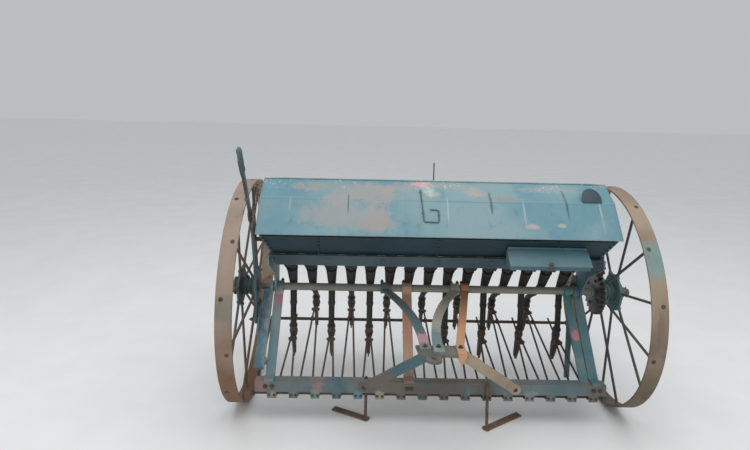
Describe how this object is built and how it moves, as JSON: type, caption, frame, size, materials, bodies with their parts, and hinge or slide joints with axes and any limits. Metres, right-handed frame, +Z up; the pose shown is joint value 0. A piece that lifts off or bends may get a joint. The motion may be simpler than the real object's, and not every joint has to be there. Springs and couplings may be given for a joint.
{
  "type": "animal- or tractor-drawn seed drill",
  "caption": "Two-wheeled seed drill: long hopper with a folded lid, feed cups on a geared shaft, drag-arm coulters on a hand lever, flat-bar hitch and parking feet.",
  "frame": {"origin": "on the ground under the middle of the drill's length and width", "axes": "+X across the drill to its left-hand side as it travels, -Y the way it travels, +Z up"},
  "size_m": [2.314, 1.411, 1.4594],
  "materials": {
    "frame_blue": "weathered blue paint with rust",
    "beam_blue": "worn blue paint over brown rust",
    "lid_blue": "faded light blue paint",
    "hopper_dark": "dark blue paint",
    "grey_paint": "grey-green worn paint",
    "cream": "faded cream paint",
    "salmon": "salmon primer and rust",
    "rim": "faded primer on iron, brown rust",
    "rust_iron": "rusty iron",
    "dark_iron": "dark greased iron",
    "tube": "old dark seed tubes"
  },
  "bodies": {
    "frame": {"axle": "grey_paint", "side_frame_left": "frame_blue", "side_frame_right": "frame_blue", "front_beam": "beam_blue", "hinge_rod": "rust_iron", "centre_post": "salmon", "hitch_bar_left": "frame_blue", "hitch_bar_right": "cream", "lower_stays": "cream", "hitch_plate": "grey_paint", "tongue_bar": "salmon", "parking_feet": "rust_iron", "front_rail": "grey_paint", "rear_rail": "grey_paint", "hopper_front": "hopper_dark", "hopper_rear": "hopper_dark", "hopper_floor": "hopper_dark", "hopper_ends": "frame_blue", "catch_bar": "grey_paint", "toolbox": "frame_blue", "feed_cups": "dark_iron", "seed_tubes": "tube"},
    "wheel_left": {"wheel_left": "rim"},
    "wheel_right": {"wheel_right": "rim", "drive_gear": "dark_iron"},
    "sow_shaft": {"sow_shaft": "dark_iron", "sow_pinion": "rust_iron"},
    "hopper_lid": {"hopper_lid": "lid_blue", "lid_fittings": "hopper_dark"},
    "toolbox_lid": {"toolbox_lid": "lid_blue"},
    "lift_lever": {"lift_lever": "frame_blue"},
    "lift_link": {"lift_link": "grey_paint"},
    "lift_bail": {"lift_bail": "grey_paint"},
    "coulter_1": {"coulter_1": "rust_iron"},
    "coulter_2": {"coulter_2": "rust_iron"},
    "coulter_3": {"coulter_3": "rust_iron"},
    "coulter_4": {"coulter_4": "rust_iron"},
    "coulter_5": {"coulter_5": "rust_iron"},
    "coulter_6": {"coulter_6": "rust_iron"},
    "coulter_7": {"coulter_7": "rust_iron"},
    "coulter_8": {"coulter_8": "rust_iron"},
    "coulter_9": {"coulter_9": "rust_iron"},
    "coulter_10": {"coulter_10": "rust_iron"},
    "coulter_11": {"coulter_11": "rust_iron"},
    "coulter_12": {"coulter_12": "rust_iron"},
    "coulter_13": {"coulter_13": "rust_iron"},
    "coulter_14": {"coulter_14": "rust_iron"},
    "coulter_15": {"coulter_15": "rust_iron"}
  },
  "joints": [
    {"name": "wheel_left_spin", "type": "hinge", "parent": "frame", "child": "wheel_left", "pos_m": [-1.027, 0.0955, 0.61], "axis": [1, 0, 0], "continuous": true},
    {"name": "wheel_right_spin", "type": "hinge", "parent": "frame", "child": "wheel_right", "pos_m": [1.027, 0.0955, 0.61], "axis": [1, 0, 0], "continuous": true},
    {"name": "sow_shaft_spin", "type": "hinge", "parent": "frame", "child": "sow_shaft", "pos_m": [0.9, 0.0455, 0.78292], "axis": [1, 0, 0], "continuous": true},
    {"name": "hopper_lid_hinge", "type": "hinge", "parent": "frame", "child": "hopper_lid", "pos_m": [0, 0.2265, 1.00992], "axis": [-1, 0, 0], "range_deg": [0, 110]},
    {"name": "toolbox_lid_hinge", "type": "hinge", "parent": "frame", "child": "toolbox_lid", "pos_m": [0.553, -0.26466, 0.95492], "axis": [-1, 0, 0], "range_deg": [0, 60]},
    {"name": "lift_lever_swing", "type": "hinge", "parent": "frame", "child": "lift_lever", "pos_m": [-0.96, -0.0445, 0.468], "axis": [-1, 0, 0], "range_deg": [0, 38], "deforming": ["seed_tubes"]},
    {"name": "lift_link_swing", "type": "hinge", "parent": "lift_lever", "child": "lift_link", "pos_m": [-0.949, 0.07842, 0.51032], "axis": [-1, 0, 0], "range_deg": [-41.5, 0.5]},
    {"name": "lift_bail_swing", "type": "hinge", "parent": "frame", "child": "lift_bail", "pos_m": [0, -0.2345, 0.15], "axis": [-1, 0, 0], "range_deg": [0, 14.6]},
    {"name": "coulter_1_swing", "type": "hinge", "parent": "frame", "child": "coulter_1", "pos_m": [-0.784, -0.2345, 0.15], "axis": [-1, 0, 0], "range_deg": [0, 14.6]},
    {"name": "coulter_2_swing", "type": "hinge", "parent": "frame", "child": "coulter_2", "pos_m": [-0.672, -0.2345, 0.15], "axis": [-1, 0, 0], "range_deg": [0, 14.6]},
    {"name": "coulter_3_swing", "type": "hinge", "parent": "frame", "child": "coulter_3", "pos_m": [-0.56, -0.2345, 0.15], "axis": [-1, 0, 0], "range_deg": [0, 14.6]},
    {"name": "coulter_4_swing", "type": "hinge", "parent": "frame", "child": "coulter_4", "pos_m": [-0.448, -0.2345, 0.15], "axis": [-1, 0, 0], "range_deg": [0, 14.6]},
    {"name": "coulter_5_swing", "type": "hinge", "parent": "frame", "child": "coulter_5", "pos_m": [-0.336, -0.2345, 0.15], "axis": [-1, 0, 0], "range_deg": [0, 14.6]},
    {"name": "coulter_6_swing", "type": "hinge", "parent": "frame", "child": "coulter_6", "pos_m": [-0.224, -0.2345, 0.15], "axis": [-1, 0, 0], "range_deg": [0, 14.6]},
    {"name": "coulter_7_swing", "type": "hinge", "parent": "frame", "child": "coulter_7", "pos_m": [-0.112, -0.2345, 0.15], "axis": [-1, 0, 0], "range_deg": [0, 14.6]},
    {"name": "coulter_8_swing", "type": "hinge", "parent": "frame", "child": "coulter_8", "pos_m": [0, -0.2345, 0.15], "axis": [-1, 0, 0], "range_deg": [0, 14.6]},
    {"name": "coulter_9_swing", "type": "hinge", "parent": "frame", "child": "coulter_9", "pos_m": [0.112, -0.2345, 0.15], "axis": [-1, 0, 0], "range_deg": [0, 14.6]},
    {"name": "coulter_10_swing", "type": "hinge", "parent": "frame", "child": "coulter_10", "pos_m": [0.224, -0.2345, 0.15], "axis": [-1, 0, 0], "range_deg": [0, 14.6]},
    {"name": "coulter_11_swing", "type": "hinge", "parent": "frame", "child": "coulter_11", "pos_m": [0.336, -0.2345, 0.15], "axis": [-1, 0, 0], "range_deg": [0, 14.6]},
    {"name": "coulter_12_swing", "type": "hinge", "parent": "frame", "child": "coulter_12", "pos_m": [0.448, -0.2345, 0.15], "axis": [-1, 0, 0], "range_deg": [0, 14.6]},
    {"name": "coulter_13_swing", "type": "hinge", "parent": "frame", "child": "coulter_13", "pos_m": [0.56, -0.2345, 0.15], "axis": [-1, 0, 0], "range_deg": [0, 14.6]},
    {"name": "coulter_14_swing", "type": "hinge", "parent": "frame", "child": "coulter_14", "pos_m": [0.672, -0.2345, 0.15], "axis": [-1, 0, 0], "range_deg": [0, 14.6]},
    {"name": "coulter_15_swing", "type": "hinge", "parent": "frame", "child": "coulter_15", "pos_m": [0.784, -0.2345, 0.15], "axis": [-1, 0, 0], "range_deg": [0, 14.6]}
  ],
  "couplings": [
    {"joint": "sow_shaft_spin", "follows": "wheel_right_spin", "ratio": -2},
    {"joint": "lift_link_swing", "follows": "lift_lever_swing", "ratio": -1.084},
    {"joint": "lift_bail_swing", "follows": "lift_lever_swing", "ratio": 0.3816},
    {"joint": "coulter_1_swing", "follows": "lift_lever_swing", "ratio": 0.3816},
    {"joint": "coulter_2_swing", "follows": "lift_lever_swing", "ratio": 0.3816},
    {"joint": "coulter_3_swing", "follows": "lift_lever_swing", "ratio": 0.3816},
    {"joint": "coulter_4_swing", "follows": "lift_lever_swing", "ratio": 0.3816},
    {"joint": "coulter_5_swing", "follows": "lift_lever_swing", "ratio": 0.3816},
    {"joint": "coulter_6_swing", "follows": "lift_lever_swing", "ratio": 0.3816},
    {"joint": "coulter_7_swing", "follows": "lift_lever_swing", "ratio": 0.3816},
    {"joint": "coulter_8_swing", "follows": "lift_lever_swing", "ratio": 0.3816},
    {"joint": "coulter_9_swing", "follows": "lift_lever_swing", "ratio": 0.3816},
    {"joint": "coulter_10_swing", "follows": "lift_lever_swing", "ratio": 0.3816},
    {"joint": "coulter_11_swing", "follows": "lift_lever_swing", "ratio": 0.3816},
    {"joint": "coulter_12_swing", "follows": "lift_lever_swing", "ratio": 0.3816},
    {"joint": "coulter_13_swing", "follows": "lift_lever_swing", "ratio": 0.3816},
    {"joint": "coulter_14_swing", "follows": "lift_lever_swing", "ratio": 0.3816},
    {"joint": "coulter_15_swing", "follows": "lift_lever_swing", "ratio": 0.3816}
  ]
}
